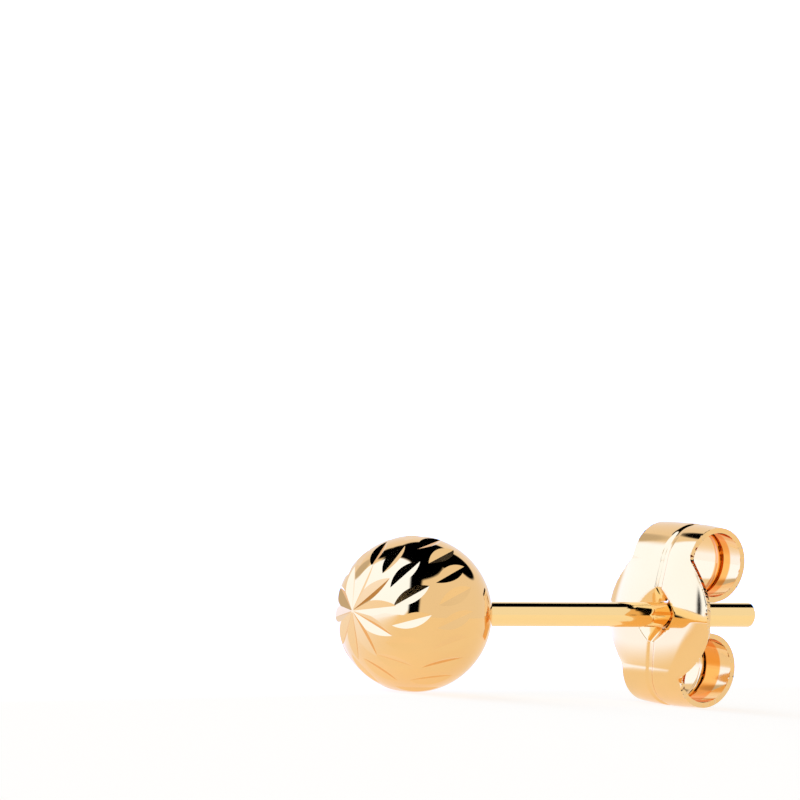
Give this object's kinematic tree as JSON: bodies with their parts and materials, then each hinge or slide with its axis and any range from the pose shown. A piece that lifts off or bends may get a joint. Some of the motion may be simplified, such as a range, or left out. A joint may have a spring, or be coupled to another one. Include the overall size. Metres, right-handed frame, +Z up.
{
  "type": "ball stud earring",
  "caption": "Engraved gold ball on a straight soldered post, with a curled butterfly clutch sliding on the post, lying at rest.",
  "frame": {"origin": "centre of the bounding box in plan, on the surface that the ball and the clutch's lower loop rest on", "axes": "+X along the post from the ball towards the clutch (the post itself rises 2.3 degrees), +Y across, +Z up"},
  "size_m": [0.0164, 0.0052, 0.0059],
  "materials": {
    "ball_gold": "mirror-polished yellow gold, engraved with bright V cuts",
    "clutch_gold": "polished yellow gold sheet, stamped and curled"
  },
  "bodies": {
    "stud": {"ball_stud": "ball_gold"},
    "clutch": {"butterfly_clutch": "clutch_gold"}
  },
  "joints": [
    {"name": "clutch_slide", "type": "slide", "parent": "stud", "child": "clutch", "axis": [0.9992, 0, 0.0404], "range_m": [-0.0071, 0.005]}
  ]
}
